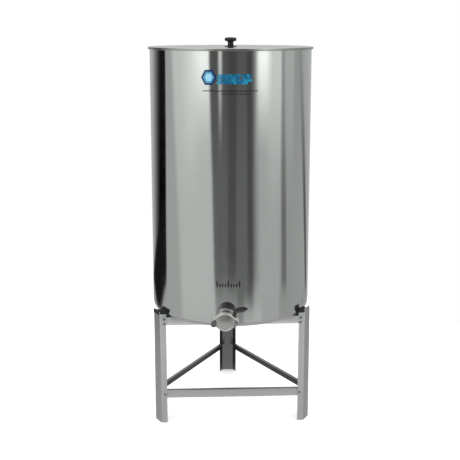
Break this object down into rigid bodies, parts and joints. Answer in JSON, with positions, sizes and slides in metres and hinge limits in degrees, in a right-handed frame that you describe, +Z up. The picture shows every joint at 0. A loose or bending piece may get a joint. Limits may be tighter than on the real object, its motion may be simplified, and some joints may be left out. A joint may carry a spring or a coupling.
{
  "type": "honey maturing tank",
  "caption": "Tall round stainless steel tank with a loose flat lid and a honey gate near its foot, on a three-legged stand of folded sheet with braces.",
  "frame": {"origin": "on the floor, under the middle of the whole tank and stand", "axes": "+Z up, the honey gate points to -Y, the gate's lever lies towards +X"},
  "size_m": [0.6368, 0.8164, 1.496],
  "materials": {
    "tank_steel": "bright rolled stainless sheet",
    "lid_steel": "bright stainless sheet, spun edge",
    "stand_steel": "satin folded stainless sheet",
    "tap_steel": "bead-blasted and turned stainless",
    "bolt_steel": "plain machined fasteners",
    "black_plastic": "moulded, semi-gloss",
    "black_rubber": "moulded, matt"
  },
  "bodies": {
    "root": {"tank_wall": "tank_steel", "tank_bottom": "tank_steel", "leg_left": "stand_steel", "leg_right": "stand_steel", "leg_rear": "stand_steel", "lower_rail_front": "stand_steel", "lower_rail_right": "stand_steel", "lower_rail_left": "stand_steel", "upper_rail_front": "stand_steel", "upper_rail_right": "stand_steel", "upper_rail_left": "stand_steel", "tap_socket": "tap_steel", "tap_lock_ring": "tap_steel", "tap_body": "tap_steel", "tap_front_flange": "tap_steel", "pivot_screw": "bolt_steel", "clamp_screw": "bolt_steel", "clamp_wing_nut": "bolt_steel", "tap_ring_nut": "black_plastic", "pivot_knob": "black_plastic", "tap_gasket": "black_rubber", "pad_left": "black_rubber", "pad_right": "black_rubber", "pad_rear": "black_rubber"},
    "lid": {"lid": "lid_steel", "lid_knob": "black_plastic", "knob_washer": "black_plastic", "knob_screw": "bolt_steel"},
    "gate": {"tap_gate": "tap_steel"}
  },
  "joints": [
    {"name": "lid_lift", "type": "slide", "parent": "root", "child": "lid", "axis": [0, 0, 1], "range_m": [0, 0.25]},
    {"name": "gate_swing", "type": "hinge", "parent": "root", "child": "gate", "pos_m": [-0.04, -0.37068, 0.5022], "axis": [0, -1, 0], "range_deg": [0, 95]}
  ]
}
